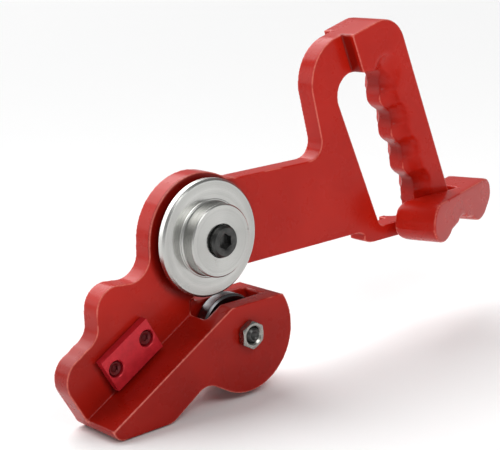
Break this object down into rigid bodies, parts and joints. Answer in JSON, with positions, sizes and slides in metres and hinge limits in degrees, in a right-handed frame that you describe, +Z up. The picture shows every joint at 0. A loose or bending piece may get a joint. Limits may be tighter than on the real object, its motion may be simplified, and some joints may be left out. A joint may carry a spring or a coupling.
{
  "type": "hand seamer",
  "caption": "Red cast hand seamer with a scalloped finger grip, a steel disc roller over a smaller roller across a throat, and a bolted guide block.",
  "frame": {"origin": "middle of the flat seat on top of the lower body's front wall, straight above the lower axle, where the sheet's underside runs", "axes": "+X along the arm from the rollers to the finger grip; +Y along both roller axles, from the disc side towards the back of the casting; +Z up, across the throat from the lower roller to the upper one"},
  "size_m": [0.3069, 0.0569, 0.1774],
  "materials": {
    "red_paint": "satin red paint on cast aluminium",
    "crimson_anodised": "matte crimson anodising",
    "painted_screw": "cap screws painted over with the block",
    "turned_steel": "lathe-turned, fine concentric marks",
    "hardened_roller": "hardened and blackened, ground rim",
    "bearing_steel": "ground bearing steel",
    "bearing_seal": "black nitrile rubber",
    "zinc_plated_steel": "dull zinc plating",
    "black_oxide": "black oxide, lightly oiled",
    "nylon_insert": "nylon locking insert"
  },
  "bodies": {
    "body": {"frame_casting": "red_paint", "guide_block": "crimson_anodised", "guide_block_screw_1": "painted_screw", "guide_block_screw_2": "painted_screw", "heel_grip": "red_paint", "heel_grip_screw_1": "black_oxide", "heel_grip_screw_2": "black_oxide", "upper_axle_screw": "black_oxide", "upper_front_bush": "zinc_plated_steel", "upper_bearing_inner_ring": "bearing_steel", "upper_rear_spacer": "zinc_plated_steel", "upper_axle_washer": "zinc_plated_steel", "upper_axle_locknut": "zinc_plated_steel", "upper_locknut_insert": "nylon_insert", "lower_axle_screw": "black_oxide", "lower_front_spacer": "zinc_plated_steel", "lower_bearing_inner_ring": "bearing_steel", "lower_rear_spacer": "zinc_plated_steel", "lower_axle_washer": "zinc_plated_steel", "lower_axle_nut": "zinc_plated_steel"},
    "upper_roller_body": {"upper_roller": "turned_steel", "upper_bearing_outer_ring": "bearing_steel", "upper_bearing_seal_front": "bearing_seal", "upper_bearing_seal_rear": "bearing_seal"},
    "upper_cage_body": {"upper_bearing_cage": "bearing_steel"},
    "lower_roller_body": {"lower_roller": "hardened_roller", "lower_bearing_outer_ring": "bearing_steel", "lower_bearing_seal_front": "bearing_seal", "lower_bearing_seal_rear": "bearing_seal"},
    "lower_cage_body": {"lower_bearing_cage": "bearing_steel"}
  },
  "joints": [
    {"name": "upper_roller_spin", "type": "hinge", "parent": "body", "child": "upper_roller_body", "pos_m": [-0.01, 0.011, 0.0336], "axis": [0, 1, 0], "continuous": true},
    {"name": "lower_roller_spin", "type": "hinge", "parent": "body", "child": "lower_roller_body", "pos_m": [0, 0.0127, -0.0154], "axis": [0, 1, 0], "continuous": true},
    {"name": "upper_cage_spin", "type": "hinge", "parent": "body", "child": "upper_cage_body", "pos_m": [-0.01, 0.0086, 0.0336], "axis": [0, 1, 0], "continuous": true},
    {"name": "lower_cage_spin", "type": "hinge", "parent": "body", "child": "lower_cage_body", "pos_m": [0, 0.0127, -0.0154], "axis": [0, 1, 0], "continuous": true}
  ],
  "couplings": [
    {"joint": "upper_cage_spin", "follows": "upper_roller_spin", "ratio": 0.619},
    {"joint": "lower_cage_spin", "follows": "lower_roller_spin", "ratio": 0.632}
  ]
}
